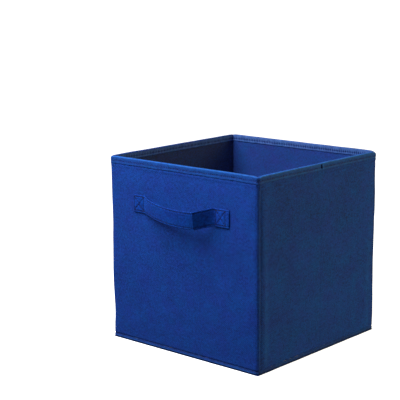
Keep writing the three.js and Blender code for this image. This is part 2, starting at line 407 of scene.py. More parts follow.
# The outer half of the binding from its lower edge up to the top of the rim: depth, distance below the rim,
# and the light painted on it, pale for the highlights on the rim and ridge and dark for the shade in the
# stitch groove and under the lower edge. The inner half is its mirror.
HEM_SHAPE = np.array([
    (0.8, 10.5, -0.6), (0.42, 10.4, -0.4), (0.12, 10.1, 0.0), (-0.08, 9.5, 0.0), (-0.18, 8.9, 0.2),
    (-0.19, 8.3, 0.3), (-0.1, 7.7, 0.1), (0.1, 7.1, -0.4), (0.22, 6.5, -0.7), (0.2, 5.9, -0.4),
    (0.1, 5.1, 0.0), (0.02, 4.2, 0.1), (-0.02, 3.3, 0.15), (-0.02, 2.4, 0.2), (0.03, 1.6, 0.3),
    (0.18, 0.9, 0.6), (0.55, 0.38, 0.8), (1.2, 0.1, 0.6), (1.9, 0.0, 0.2), (2.7, 0.0, 0.1),
])


# The whole section, over the rim to the inner edge.
HEM_DEPTH, HEM_BELOW, HEM_LIGHT = np.concatenate([
    HEM_SHAPE, HEM_SHAPE[-2::-1] * (-1, 1, 1) + (WALL, 0, 0),
]).T
HEM_SIDE = np.where(np.arange(len(HEM_DEPTH)) < len(HEM_DEPTH) / 2, 1, -1)   # outer half, inner half


def needle_hole(s):
    """1 at each needle hole of a stitch row, 0 half-way along each stitch."""
    return 0.5 + 0.5 * np.cos(math.tau * s / STITCH_PITCH)


def hem_layers(s):
    """Depth and height of both faces of the binding at each s."""
    around = s[:, None]
    c, which = from_corner(around)
    pulled = 0.42 * bump(HEM_BELOW, HEM_STITCH, 1.6) * needle_hole(around)
    rolled = 0.16 * rim_wander(around * 2.3, HEM_BELOW) + 0.1 * pucker(around, HEM_BELOW)
    flap = np.clip(HEM_BELOW / 3, 0, 1)
    corner = 0.6 * CORNER_DENT[which] * (bump(c, 0.8, 1.5) + 0.4 * bump(c, 5.6, 2.8))
    folded = (corner + hem_nick(around, HEM_BELOW)) * (HEM_SIDE > 0)
    depth = HEM_DEPTH + HEM_SIDE * (pulled + rolled * flap) + folded * flap
    depth = np.clip(depth, FOLD_GAP, WALL - FOLD_GAP)
    height = TOP - HEM_BELOW - rim_drop(around)
    return (depth, height), hidden_face(depth, height)


def hem_light_and_shade(s):
    """Light and shade painted on the binding: a highlight on its rim, shade in its folds, its pinches and
    at its needle holes, and a paler inner face.
    """
    around = s[:, None]
    below = HEM_BELOW
    c, _ = from_corner(around)
    # Painted shade in the pinch at each side wall's fold and at the corners, with a painted highlight just
    # beside the pinch.
    creased = 1.6 * np.clip(hem_nick(around, below), -0.5, 1.5) / 1.5 + 0.8 * bump(c, 0.8, 1.6)
    # Painted shade at each needle hole, where the thread puckers the cloth, and paler between them.
    stitched = (1.2 - 3.6 * needle_hole(around)) * bump(below, HEM_STITCH, 1.7)
    # A paler band on the inner face: painted light, stronger on the back wall.
    on_back = step(around, FAR - 4, FAR + 4) * (1 - step(around, LAST - 4, LAST + 4))
    lighter = (0.2 + 0.4 * on_back) * step(below, 0.8, 2) * (1 - step(below, 8.5, 10))
    # On the left wall the rim gets painted shade in place of its highlight.
    rim_in_shade = on_left_wall(around) * (1 - step(below, 1, 2.5))
    rim = HEM_LIGHT * (1 - rim_in_shade) - 0.5 * rim_in_shade
    return rim + np.where(HEM_SIDE > 0, -creased, lighter + stitched)


def hem_nick(s, below):
    """The pinch in the hem at the fold of each side wall."""
    s = np.asarray(s, float) % PERIMETER
    window = step(below, 0.6, 2.5) * (1 - step(below, 7.5, 10))
    lean = (below - 5) * 0.12
    folds = [fold + lean for fold in (WIDTH + MIDDLE + 0.6, PERIMETER - MIDDLE)]
    return window * sum(2.2 * bump(s, fold, 1.3) - 0.9 * bump(s, fold + 2.8, 1.1) for fold in folds)


def hem(start, end):
    s = stations(start, end, 0.65, STITCH_PITCH / 6)
    front, behind = hem_layers(s)
    wear_and_light = hem_light_and_shade(s)
    around = s[:, None]
    piece = Piece()
    piece.shell(on_outline(around, *front), on_outline(around, *behind), xyz(around, front[1], wear_and_light))
    strips = wear_and_light.shape[1] - 1
    for face in range(2 * (len(s) - 1) * strips):
        if face % strips > strips * HEM_TURN:
            piece.kinds[face] = 2
    row = np.argmin(np.abs(HEM_SHAPE[:, 1] - HEM_STITCH))
    for index, outwards in ((row, 1), (wear_and_light.shape[1] - 1 - row, -1)):
        stitch_row(piece, start, end, lambda x: hem_at(x, index), outwards)
    return piece


def hem_at(s, index):
    """Depth and height of one line along the binding."""
    front, _ = hem_layers(np.array([s]))
    return front[0][0, index], front[1][0, index]


def stitch_row(piece, start, end, line, outwards, sunk=0.2, length=2.3):
    """Stitches along a line of the wall, one every STITCH_PITCH round the bin."""
    first = math.ceil(start / STITCH_PITCH - 0.5)
    last = math.floor((end - length / 2) / STITCH_PITCH - 0.5)
    for k in range(first, last + 1):
        middle = (k + 0.5) * STITCH_PITCH
        depth, height = line(middle)
        ends = [on_outline(middle + o * length, depth + outwards * sunk, height) for o in (-0.5, 0.5)]
        up = (on_outline(middle, depth - 1, 0) - on_outline(middle, depth + 1, 0)) * outwards
        piece.stitch(*ends, up, (middle, height, 0.3), radius=0.34)


# ---- Base seam ----

SEAM_STITCH = 4.8                # height of its stitch row
# Section of the seam band from its inner top edge, under the wall, to its outer top edge.
# The third column is the light painted on the band: a highlight on its rolled edge, shade under it and in
# the groove along its top.
SEAM_SHAPE = np.array([
    (4.6, 5.9, -0.3), (4.65, 3.8, 0), (4.6, 1.9, 0), (4.2, 1.1, -0.4), (3.3, 0.85, -0.6),
    (2.2, 0.85, -0.6), (1.3, 1.05, -0.5), (0.65, 1.6, -0.2), (0.28, 2.4, 0.3), (0.16, 3.2, 0.7),
    (0.3, 4.0, 0.4), (0.62, 4.7, 0), (0.95, 5.2, -0.3), (1.3, 5.7, -0.6), (1.75, 6.05, -0.8),
])


def seam(start, end):
    """The sewn edge along the bottom of a wall."""
    s = stations(start, end, 0.8, STITCH_PITCH / 3)
    around = s[:, None]
    inwards, up, worn_and_lit = SEAM_SHAPE.T
    c, which = from_corner(around)
    gather = 0.12 * np.cos(math.tau * around / STITCH_PITCH) * bump(up, SEAM_STITCH, 1.2)
    gather = gather + 0.14 * pucker(around, up) + 0.1 * rim_wander(around, 4)
    dent = 0.9 * CORNER_DENT[which] * bump(c, 0, 6)
    depth = inwards + (gather + dent) * step(4 - inwards, 1, 3)
    height = up + 0.0 * around
    outer = on_outline(around, depth, height)
    inner = on_outline(around, *hidden_face(depth, height))
    on_side = step(c, 1, 3)
    # On the side walls the band gets painted shade along its lower 4 mm, in place of the section's painted
    # light.
    foot_shade = np.where(up < 4, -1.1, 0.1)
    wear_and_light = worn_and_lit * (1 - on_side) + foot_shade * on_side
    piece = Piece()
    piece.shell(outer, inner, xyz(around, height, wear_and_light))
    stitch_row(piece, start, end, lambda x: (0.72, SEAM_STITCH), 1, sunk=-0.08)
    return piece


# ---- Materials ----

def linear(rgb):
    """A colour given as 0 to 255, in linear light."""
    shares = [value / 255 for value in rgb]
    return (*[c / 12.92 if c <= 0.04045 else ((c + 0.055) / 1.055) ** 2.4 for c in shares], 1)


class Nodes:
    """Shorthand for building a material from nodes."""

    def __init__(self, name):
        self.material = bpy.data.materials.new(name)
        self.material.use_nodes = True
        self.tree = self.material.node_tree
        self.shader = self.tree.nodes["Principled BSDF"]

    def set(self, socket, value):
        if isinstance(value, bpy.types.NodeSocket):
            self.tree.links.new(value, socket)
        else:
            socket.default_value = value

    def new(self, kind, inputs=None, output=0, **settings):
        node = self.tree.nodes.new("ShaderNode" + kind)
        for key, value in settings.items():
            setattr(node, key, value)
        for key, value in (inputs or {}).items():
            self.set(node.inputs[key], value)
        return node.outputs[output]

    def math(self, operation, first, second=0.0):
        return self.new("Math", {0: first, 1: second}, operation=operation)

    def add(self, first, second):
        return self.math("ADD", first, second)

    def times(self, first, second):
        return self.math("MULTIPLY", first, second)

    def noise(self, vector, scale, detail=2.0, roughness=0.5):
        inputs = {"Vector": vector, "Scale": scale, "Detail": detail, "Roughness": roughness}
        return self.new("TexNoise", inputs)

    def between(self, value, low, high, to_low=0.0, to_high=1.0):
        inputs = {0: value, 1: low, 2: high, 3: to_low, 4: to_high}
        return self.new("MapRange", inputs)

    def mix(self, share, first, second):
        return self.new("Mix", {0: share, 6: first, 7: second}, output=2, data_type="RGBA")

    def cloth_place(self):
        """Each vertex's place on the cloth: along it, up it, and the light and shade painted there, with
        any rubbing.
        """
        place = self.new("Attribute", output=1, attribute_name="cloth_place")
        split = self.tree.nodes.new("ShaderNodeSeparateXYZ")
        self.tree.links.new(place, split.inputs[0])
        return split.outputs

    def bumpy(self, height, distance, strength):
        """Which way the surface faces when it stands out by height times distance."""
        return self.new("Bump", {"Height": height, "Distance": distance, "Strength": strength})

    def finish(self, inputs):
        """Sets these inputs of the surface."""
        for key, value in inputs.items():
            self.set(self.shader.inputs[key], value)
        return self.material


def pressed_dots(n, along, up, lattice):
    """1 in each pressed dot of the diagonal lattice."""
    turn = math.pi / lattice
    first = n.math("SINE", n.times(n.add(along, up), turn))
    second = n.math("SINE", n.times(n.math("SUBTRACT", along, up), turn))
    return n.between(n.math("ABSOLUTE", n.times(first, second)), 0.3, 0.75)


def cloth_darkness(n, place, dots, fibres, mottle, contrast):
    """From 0 to 1: how dark the cloth is, from its fibres, its dots and the shade painted on it."""
    along, up, wear_and_light = place
    flat = n.new("CombineXYZ", {0: along, 1: up})
    cloudy = n.noise(flat, 0.022, 3.0, 0.55)
    streaks = n.noise(n.new("CombineXYZ", {0: n.times(along, 2.6), 1: up}), 0.35, 3.0, 0.6)
    shade = n.times(dots, -1.6)
    for noise, low, high, strength in ((cloudy, 0.3, 0.7, 0.2), (mottle, 0.3, 0.7, 0.3),
                                       (streaks, 0.3, 0.7, 0.35), (fibres, 0.26, 0.74, 1.5)):
        shade = n.add(shade, n.between(noise, low, high, -strength, strength))
    # The pattern is stronger on the side walls: painted shading, for light that rakes across them.
    which_wall = n.math("SINE", n.times(along, math.pi / WIDTH))
    pattern = n.between(which_wall, -0.15, 0.15, contrast[1], contrast[0])
    shade = n.add(n.times(n.add(shade, 0.8), pattern), -0.8)
    return n.between(n.add(shade, n.math("MINIMUM", wear_and_light, 0.0)), -2.3, 0.7, 1.0, 0.0)


def cloth_material(name, dark, main, worn_and_lit, lattice=2.7, emboss=0.2, roughness=0.78, sheen=0.05,
                   gloss=0.15, contrast=(1.0, 1.0)):
    """Spunbond nonwoven: pressed dots in a diagonal lattice over matted fibres.
    main is its colour, dark the colour of painted shade and of pressed places, and the third colour that of
    painted highlights and of edges paled by rubbing.
    contrast is how strong the pattern is, on the front and back walls and on the side walls; its greater
    strength on the side walls is painted shading, for light that rakes across them."""
    n = Nodes(name)
    dark, main, worn_and_lit = linear(dark), linear(main), linear(worn_and_lit)
    along, up, wear_and_light = place = n.cloth_place()
    flat = n.new("CombineXYZ", {0: along, 1: up})
    dots = pressed_dots(n, along, up, lattice)
    fibres = n.noise(flat, 0.34, 6.0, 0.7)
    mottle = n.noise(flat, 0.11, 4.0, 0.6)
    darkness = cloth_darkness(n, place, dots, fibres, mottle, contrast)
    # The share of the third colour: painted highlights, and paling from rubbing.
    lit_and_rubbed = n.times(n.math("MAXIMUM", wear_and_light, 0.0), n.between(mottle, 0.35, 0.65, 0.45, 1.0))
    tint = n.between(n.noise(flat, 0.035, 4.0, 0.65), 0.35, 0.65)
    redder = (main[0] * 2.2, main[1] * 0.84, main[2] * 0.98, 1)
    greener = (main[0] * 0.6, main[1] * 1.12, main[2], 1)
    fluff = n.add(fibres, n.times(dots, -0.5))
    height = n.add(n.times(dots, -emboss), n.times(fibres, 0.09))
    height = n.add(height, n.times(mottle, 0.22))
    return n.finish({
        "Base Color": n.mix(lit_and_rubbed, n.mix(darkness, n.mix(tint, redder, greener), dark), worn_and_lit),
        "Roughness": n.between(fluff, -0.2, 0.9, roughness - 0.16, roughness + 0.12),
        "Normal": n.bumpy(height, MM, 0.8),
        "Specular IOR Level": gloss,
        "Sheen Weight": sheen,
        "Sheen Roughness": 0.55,
        "Sheen Tint": (0.42, 0.6, 1.0, 1.0),
    })


def thread_material(name, colour):
    """Polyester thread: two plies that wind round each other."""
    n = Nodes(name)
    along, up, _ = n.cloth_place()
    ply = n.math("ABSOLUTE", n.math("SINE", n.add(n.times(along, 6.5), n.times(up, 2.2))))
    colour = linear(colour)
    shade = tuple(c * 0.45 for c in colour[:3]) + (1,)
    return n.finish({
        "Base Color": n.mix(ply, shade, colour),
        "Roughness": n.between(ply, 0, 1, 0.75, 0.5),
        "Normal": n.bumpy(ply, 0.1 * MM, 0.8),
        "Specular IOR Level": 0.3,
    })


def board_material(name):
    """Grey cardboard: matted fibres with darker specks."""
    n = Nodes(name)
    where = n.new("TexCoord", output=3)
    grain = n.noise(where, 900, 5.0, 0.7)
    specks = n.between(n.noise(where, 2600, 1.0), 0.62, 0.7, 0, 0.6)
    paper = n.mix(n.between(grain, 0.3, 0.7), linear((112, 104, 92)), linear((158, 150, 136)))
    return n.finish({
        "Base Color": n.mix(specks, paper, linear((70, 64, 58))),
        "Roughness": n.between(grain, 0.3, 0.7, 0.85, 1.0),
        "Normal": n.bumpy(grain, 0.2 * MM, 0.5),
    })


def floor_material(name):
    """A plain pale floor, lit from within as a light table is, so that it stays clear of shade."""
    n = Nodes(name)
    tone = n.noise(n.new("TexCoord", output=3), 1.5, 2.0)
    return n.finish({
        "Base Color": n.mix(tone, (0.93, 0.93, 0.93, 1), (0.96, 0.96, 0.96, 1)),
        "Emission Color": (1.0, 1.0, 1.0, 1),
        "Emission Strength": 1.0,
        "Roughness": 0.9,
        "Specular IOR Level": 0.1,
    })


# Each cloth's colours, as 0 to 255: for painted shade, all over, and for painted highlights and paling from
# rubbing.
PANEL = cloth_material("panel cloth", (7, 30, 86), (14, 74, 176), (36, 104, 192), contrast=(0.95, 1.8))
LINING = cloth_material("lining cloth", (22, 28, 62), (24, 74, 164), (50, 100, 176), gloss=0.2,
                        contrast=(0.65, 0.8))
BINDING = cloth_material("binding cloth", (7, 26, 76), (16, 78, 172), (32, 108, 196), emboss=0.1,
                         roughness=0.72, sheen=0.06)
# The binding's inner face: the same cloth in paler, greyer colours, which carry the light painted on the
# inside of the rim.
HEM_INSIDE = cloth_material("binding cloth, inner side", (14, 30, 74), (30, 74, 154), (84, 118, 182),
                            emboss=0.1)
SEAM = cloth_material("seam cloth", (6, 24, 66), (16, 68, 158), (40, 100, 190))
STRAP = cloth_material("strap cloth", (7, 28, 84), (13, 79, 190), (34, 108, 206), lattice=2.0,
                       emboss=0.1, roughness=0.74, sheen=0.02, gloss=0.1)
INSERT = cloth_material("insert cloth", (12, 34, 84), (24, 74, 164), (46, 96, 176), gloss=0.25)
THREAD = thread_material("sewing thread", (26, 28, 78))
HEM_THREAD = thread_material("hem thread", (20, 58, 136))
ROW_THREAD = thread_material("strap thread", (20, 50, 122))
CARDBOARD = board_material("grey cardboard")


# ---- Walls, corners and creases ----

def finished(piece, name, materials, bodies, replaced=()):
    """Makes the object, hides the CAD parts it replaces, and sets it on its body; a piece given two bodies
    is left in place, on neither.
    """
    obj = piece.build(name, *materials)
    if replaced:
        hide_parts(*replaced)
    if len(bodies) == 1:
        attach(obj, bodies[0])
        return obj
    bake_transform(obj)
    return obj


def outer_light_and_shade(s, z):
    """Painted light on the outer cloth: highlights on its corners, and shade along them, under the hem, at
    the base seam and over the upper side walls.
    """
    c, which = from_corner(s)
    lower = 1 - 0.6 * step(z, TOP / 3, TOP * 0.8)
    # Painted highlights: a soft one on the ridge of cloth beside each corner, low down, and a thin one on
    # the edge of the front left corner, fainter at the back ones.
    lit_and_rubbed = 0.2 * bump(c, 18, 4.5) * lower + CORNER_HIGHLIGHT[which] * bump(c, -1.2, 1.8)
    end = 8 + 5 * lower
    # Painted shade in a strip along each vertical corner, with a thin line left out of it low down and a
    # darker line at its edge on the side wall.
    strip = step(c, -5.8, -3.8) * (1 - step(c, end, end + 2)) * (0.3 + 0.2 * step(c, -1, 2))
    strip = strip * (1 - 0.85 * bump(c, 3.1, 0.9) * lower) + 0.6 * bump(c, 7.6, 0.9) * lower
    # Painted shade just under the hem's edge and along the base seam, and over the upper part of each side
    # wall.
    pressed = 0.5 * bump(z, PANEL_BOTTOM, 1.2) + 0.3 * bump(z, HEM_BOTTOM + 0.6, 1.3)
    pressed = pressed + 0.4 * step(c, 10, 40) * step(z, TOP * 0.4, TOP * 0.8)
    return lit_and_rubbed - pressed - strip * CORNER_SHADE[which]


def inner_painted_shade(s, z):
    """Painted shade on the lining: darker at its corners, under the hem, and all over the left wall."""
    c, _ = from_corner(s)
    return -0.5 * bump(c, 0, 1.6) - 0.6 * bump(z, HEM_BOTTOM + 0.6, 1.3) - 1.2 * on_left_wall(s)


# Each stretch of the bin's outline: its name, where it starts and ends, and the body it rides on, or the
# two bodies it lies between. The back right corner is where the folding loop is opened, so its cloth is cut
# in two there.
SPANS = (
    ("front", CORNER, WIDTH - CORNER, ("front",)),
    ("front_right_corner", WIDTH - CORNER, WIDTH + CORNER, ("front", "right_front")),
    ("right_front", WIDTH + CORNER, WIDTH + CREASE_START, ("right_front",)),
    ("right_side_crease", WIDTH + CREASE_START, WIDTH + CREASE_END, ("right_front", "right_back")),
    ("right_back", WIDTH + CREASE_END, FAR - CORNER, ("right_back",)),
    ("right_back_corner", FAR - CORNER, FAR, ("right_back",)),
    ("back_right_corner", FAR, FAR + CORNER, ("back",)),
    ("back", FAR + CORNER, LAST - CORNER, ("back",)),
    ("back_left_corner", LAST - CORNER, LAST + CORNER, ("back", "left_back")),
    ("left_back", LAST + CORNER, PERIMETER - CREASE_END, ("left_back",)),
    ("left_side_crease", PERIMETER - CREASE_END, PERIMETER - CREASE_START, ("left_back", "left_front")),
    ("left_front", PERIMETER - CREASE_START, PERIMETER - CORNER, ("left_front",)),
    ("front_left_corner", -CORNER, CORNER, ("left_front", "front")),
)
# The band of the base seam: it is cut at each crease, and the front's and back's go round the corners.
SEAM_SPANS = (
    ("front", -CORNER, WIDTH + CORNER),
    ("right_front", WIDTH + CORNER, WIDTH + MIDDLE),
    ("right_back", WIDTH + MIDDLE, FAR - CORNER),
    ("back", FAR - CORNER, LAST + CORNER),
    ("left_back", LAST + CORNER, PERIMETER - MIDDLE),
    ("left_front", PERIMETER - MIDDLE, PERIMETER - CORNER),
)
WALLS = [name for name, _, _ in SEAM_SPANS]
NEIGHBOURS = {
    "front": ("front_left_corner", "front_right_corner"),
    "right_front": ("right_side_crease",),
    "right_back": ("right_back_corner",),
    "back": ("back_left_corner", "back_right_corner"),
    "left_front": ("left_side_crease",),
    "left_back": (),
}


def close_end(piece, s, inwards):
    """Joins the cloth to the lining across the cut at s. inwards is which way along s its cloth lies."""
    z = np.concatenate([np.linspace(PANEL_BOTTOM, HEM_BOTTOM, 48), [HEM_BOTTOM + 5]])
    share, z = np.meshgrid(np.linspace(0, 1, 9)[::-inwards], z, indexing="ij")
    outer_side = panel_depth(s, z) + CLOTH
    depth = outer_side + share * (lining_depth(s, z) - CLOTH - outer_side)
    near, far = [on_outline(s + inwards * reach, depth, z) for reach in (0.05, 0.05 + CLOTH)]
    piece.shell(near, far, xyz(s + depth, z, -0.3))


def build_span(name, start, end, bodies):
    """Outer cloth, lining and hem of one stretch of the wall."""
    cloth = sheet_of_wall(start, end, panel_depth, CLOTH, outer_light_and_shade)
    if FAR in (start, end):
        close_end(cloth, FAR, 1 if start == FAR else -1)
    lining = sheet_of_wall(start, end, lining_depth, -CLOTH, inner_painted_shade)
    for piece, layer, slot, materials, depth, replaced in (
        (cloth, "cloth", "panel_cloth", [PANEL], PANEL_DEPTH + CLOTH, "outer_panel"),
        (lining, "lining_cloth", "lining_cloth", [LINING], LINING_DEPTH + CLOTH, "lining"),
        (hem(start, end), "hem", "binding_cloth", [BINDING, HEM_THREAD, HEM_INSIDE], WALL, "top_binding"),
    ):
        whole = [name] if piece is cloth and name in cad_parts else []
        nodes = [f"{name}_{replaced}"] if name in WALLS else whole
        finished(piece, f"{name}_{layer}", materials, bodies, nodes)


def build_seam(name, start, end):
    """The seam band of one wall, with a mesh of its own for every wall but the front."""
    thread = THREAD if name in ("front", "back") else HEM_THREAD
    band = finished(seam(start, end), f"{name}_seam_band", [SEAM, thread], (name,),
                    [f"{name}_base_seam"])
    if name != "front":
        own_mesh(band)


def name_sheets():
    """Gathers the names of the trim sewn to each wall's cloths, and does nothing with them."""
    for name, start, end, _ in SPANS:
        if name in WALLS:
            beside = NEIGHBOURS[name]
            trim = [f"{name}_hem", f"{name}_seam_band", *[f"{b}_cloth" for b in beside]]
            trim += [f"{b}_hem" for b in beside]


for span in SPANS:
    build_span(*span)
for band_span in SEAM_SPANS:
    build_seam(*band_span)
name_sheets()


# ---- Handle ----

def bezier(points, count):
    """Evenly parametrised points on a cubic Bezier curve."""
    t = np.linspace(0, 1, count)[:, None]
    a, b, c, d = np.array(points, float)
    return a * (1 - t) ** 3 + 3 * b * t * (1 - t) ** 2 + 3 * c * t ** 2 * (1 - t) + d * t ** 3


class Strap:
    """One half of the strap: points along it in plan, with the direction it faces at each."""

    def __init__(self, plan, crease_at_end):
        self.plan = plan
        self.crease_at_end = crease_at_end
        along = unit(np.gradient(plan, axis=0))
        self.facing = np.stack([-along[:, 1], along[:, 0]], axis=-1)
        crease_facing, mitre = crease_direction()
        self.facing[-1 if crease_at_end else 0] = crease_facing * mitre
        self.distance = distances(plan)
        self.length = self.distance[-1]

    def at(self, distance, across, lift):
        """Points on the strap: distance along, height across it, lift off its middle plane."""
        x, out, face_x, face_out = [
            np.interp(distance, self.distance, column)
            for column in (*self.plan.T, *self.facing.T)
        ]
        droop = DROOP * step(out, 0, FULL_DROOP)
        x = x + face_x * lift
        out = out + face_out * lift
        y = STRAP_Y - (out * np.cos(droop) + across * np.sin(droop))
        z = STRAP_Z + across * np.cos(droop) - out * np.sin(droop)
        return xyz(x, y, z)


def crease_direction():
    """Which way the strap faces on its crease, and how far the fold stretches its section."""
    before = unit(np.subtract(OUTWARD_RUN[3], OUTWARD_RUN[2]))
    after = unit(np.subtract(RETURN_RUN[1], RETURN_RUN[0]))
    along = unit(before + after)
    return np.array([-along[1], along[0]]), 1 / (along @ before)


def strap_thickness(x, across, box, end_distance):
    """Half the strap's thickness, thin at its edges and pressed in along its stitches."""
    near_edge = np.clip((np.abs(across) - STRAP_EDGE + 1.4) / 1.4, 0, 1)
    half = STRAP_HALF * (1 - 0.75 * near_edge ** 2)
    crowned = 0.16 * (1 - (across / STRAP_EDGE) ** 2)
    rounded_end = 0.55 + 0.45 * step(end_distance, 0, 1.4)
    return (half + crowned - 0.5 * sewn_in(x, across, box)) * rounded_end


def sewn_in(x, across, box):
    """1 along every stitch row of the strap, 0 away from them."""
    pressed = bump(np.abs(across), STRAP_STITCH, 0.85)
    inside = (x > box[0] - 2) & (x < box[1] + 2)
    for start, end in box_lines(box):
        pressed = np.maximum(pressed, bump(from_line(x, across, start, end), 0, 0.85) * inside)
    return pressed


def box_lines(box):
    """The two ends of a stitched box and its two diagonals."""
    low, high = -STRAP_STITCH, STRAP_STITCH
    a, b, c, d = (box[0], low), (box[1], low), (box[1], high), (box[0], high)
    return ((b, c), (d, a), (a, c), (b, d))


def from_line(x, y, start, end):
    """How far points are from a stretch of straight line."""
    along = np.subtract(end, start)
    share = np.clip(((x - start[0]) * along[0] + (y - start[1]) * along[1]) / (along @ along), 0, 1)
    return np.hypot(x - start[0] - share * along[0], y - start[1] - share * along[1])


# Lines along the strap, closer together at its two edges.
EDGE_LINES = np.array([0, 0.25, 0.7, 1.3])
ACROSS = np.concatenate([
    EDGE_LINES - STRAP_EDGE,
    np.linspace(-STRAP_EDGE + 1.8, STRAP_EDGE - 1.8, 37),
    STRAP_EDGE - EDGE_LINES[::-1],
])


def build_strap(name, strap, box, replaced):
    """One half of the strap, with its stitches. Its sewn end is the one away from the crease."""
    distance = np.unique(np.concatenate([np.arange(0, strap.length, 1.0), [strap.length]]))
    along, across = np.meshgrid(distance, ACROSS, indexing="ij")
    x = strap.at(along, across, 0)[..., 0]
    from_end = along if strap.crease_at_end else strap.length - along
    half = strap_thickness(x, across, box, from_end)
    in_box = (x > box[0] - 1.5) & (x < box[1] + 1.5)
    # Painted shade along the strap's two edges, dimming their highlight; the cloth is also darker along its
    # stitch rows, more inside the boxes.
    wear_and_light = -0.8 * step(np.abs(across), STRAP_EDGE - 0.8, STRAP_EDGE - 0.2)
    wear_and_light = wear_and_light - (0.7 + 0.7 * in_box) * sewn_in(x, across, box)
    piece = Piece()
    faces = [strap.at(along, across, lift) for lift in (half, -half)]
    piece.shell(*faces, xyz(x, across, wear_and_light))
    for row in (-STRAP_STITCH, STRAP_STITCH):
        sew_strap(piece, strap, row, box)
    sew_box(piece, box)
    obj = piece.build(name, STRAP, THREAD, ROW_THREAD)
    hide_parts(*replaced)
    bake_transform(obj)


def sew_strap(piece, strap, row, box, pitch=3.3, length=2.5):
    """A stitch row along the strap, on both faces where both are free."""
    for k in range(int(strap.length / pitch)):
        middle = (k + 0.5) * pitch
        x = strap.at(middle, row, 0)[0]
        if (x < box[0]) if strap.crease_at_end else (x > box[1]):
            continue
        sewn_down = box[0] - 2 < x < box[1] + 2
        for face in (1,) if sewn_down else (1, -1):
            lift = face * (STRAP_HALF - STITCH_SUNK)
            ends = [strap.at(middle + o * length, row, lift) for o in (-0.5, 0.5)]
            up = strap.at(middle, row, lift + face) - strap.at(middle, row, lift)
            piece.stitch(*ends, up, (middle, row, 0.2), 1 if sewn_down else 2)


def sew_box(piece, box, pitch=3.1, length=2.4):
    """The ends and diagonals of a stitched box, on the strap's outer face."""
    y = STRAP_Y - STRAP_HALF + STITCH_SUNK
    for start, end in box_lines(box):
        run = np.subtract(end, start)
        size = np.hypot(*run)
        count = int(size / pitch)
        for k in range(count):
            middle = (k + 0.5) / count
            spots = [np.add(start, run * (middle + o * length / size)) for o in (-0.5, 0.5)]
            ends = [np.array([spot[0], y, STRAP_Z + spot[1]]) for spot in spots]
            piece.stitch(*ends, np.array([0, -1.0, 0]), (spots[0][0], spots[0][1], 0.2))


def distances(plan):
    """How far along a line each of its points is."""
    steps = np.linalg.norm(np.diff(plan, axis=0), axis=1)
    return np.concatenate([[0], np.cumsum(steps)])


def flat_run(start, end):
    """The sewn end of the strap, flat against the front."""
    x = np.linspace(start, end, max(int(abs(end - start) / 0.8), 2))
    return np.stack([x, np.zeros_like(x)], axis=-1)


def softened(plan, x, reach, spread):
    """The same line with its kink at x eased into a bend."""
    distance = distances(plan)
    weights = bump(distance[:, None], distance[None, :], spread) * np.gradient(distance)
    smooth = weights @ plan / weights.sum(axis=1, keepdims=True)
    return plan + (smooth - plan) * bump(plan[:, :1], x, reach)


left_half = np.concatenate([flat_run(-STRAP_END, OUTWARD_RUN[0][0])[:-1], bezier(OUTWARD_RUN, 120)])
right_half = np.concatenate([bezier(RETURN_RUN, 36)[:-1], flat_run(RETURN_RUN[3][0], STRAP_END)])
left_half = softened(left_half, OUTWARD_RUN[0][0], 5.0, 2.4)
right_half = softened(right_half, RETURN_RUN[3][0], 2.0, 1.1)
build_strap("handle_strap_left", Strap(left_half, True), BOX_LEFT,
            ["handle_tab_left", "handle_riser_left", "handle_grip"])
build_strap("handle_strap_right", Strap(right_half, False), BOX_RIGHT,
            ["handle_tab_right", "handle_riser_right"])


# ---- Base ----

def flat_grid(low, high, count):
    """A square grid of plan points, closer together near its edges."""
    t = np.linspace(0, 1, count)
    spread = t - 0.7 * np.sin(math.tau * t) / math.tau
    x = low.x + (high.x - low.x) * spread
    y = low.y + (high.y - low.y) * spread
    return np.meshgrid(x, y, indexing="ij")


def flat_piece(x, y, top, bottom, wear_and_light):
    """A flat sheet between two heights."""
    piece = Piece()
    piece.shell(xyz(x, y, top), xyz(x, y, bottom), xyz(x, y, wear_and_light))
    return piece


def build_base_cloth():
    """The cloth sewn under the bin, riding on the front wall's body."""
    low, high = box_mm("base_cloth")
    x, y = flat_grid(low, high, 60)
    edge = np.min([x - low.x, high.x - x, y - low.y, high.y - y], axis=0)
    lift = 0.12 + 0.1 * ripple(x * 1.3 + 700, y) + 0.1 * bump(edge, 4, 1.6)
    lift = np.clip(lift, 0.02, 0.4)
    wear_and_light = 0.3 * bump(edge, 6, 3) - 0.4 * bump(edge, 4, 1)
    piece = flat_piece(x, y, high.z + 0.3 * lift, low.z + lift, wear_and_light)
    obj = finished(piece, "base_underside", [SEAM], ["front"], replaced=["base_cloth"])
    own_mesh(obj)


EDGE_ROUND = 1.5                 # radius of the insert's upper edge
RIM = 1.2                        # how far its cover goes on down the side
INSERT_STITCH = 6                # its stitch row, from the edge
CAP_EDGE = 5                     # its mesh is finer this near the end of the cover


def cap_points(half, edge_round, grid):
    """A cap over a square board: a flat top whose edges turn down in a quarter circle."""
    inner = np.clip(grid, edge_round - half, half - edge_round)
    over = grid - inner
    reach = np.abs(over).max(axis=0)
    across = np.maximum(np.hypot(*over), 1e-9)
    angle = np.clip(reach / edge_round, 0, math.pi / 2)
    drop = edge_round * (1 - np.cos(angle)) + np.clip(reach - edge_round * math.pi / 2, 0, RIM)
    x, y = inner + over / across * edge_round * np.sin(angle)
    return x, y, drop


def cap_grid(half):
    """A square grid on the flat cloth of the insert's top cover, finer along its edges."""
    reach = half - EDGE_ROUND + EDGE_ROUND * math.pi / 2 + RIM
    turned = np.linspace(0, CAP_EDGE, 13)[:-1]
    flat = np.linspace(-reach + CAP_EDGE, reach - CAP_EDGE, 64)
    line = np.concatenate([-reach + turned, flat, reach - turned[::-1]])
    return np.array(np.meshgrid(line, line, indexing="ij"))


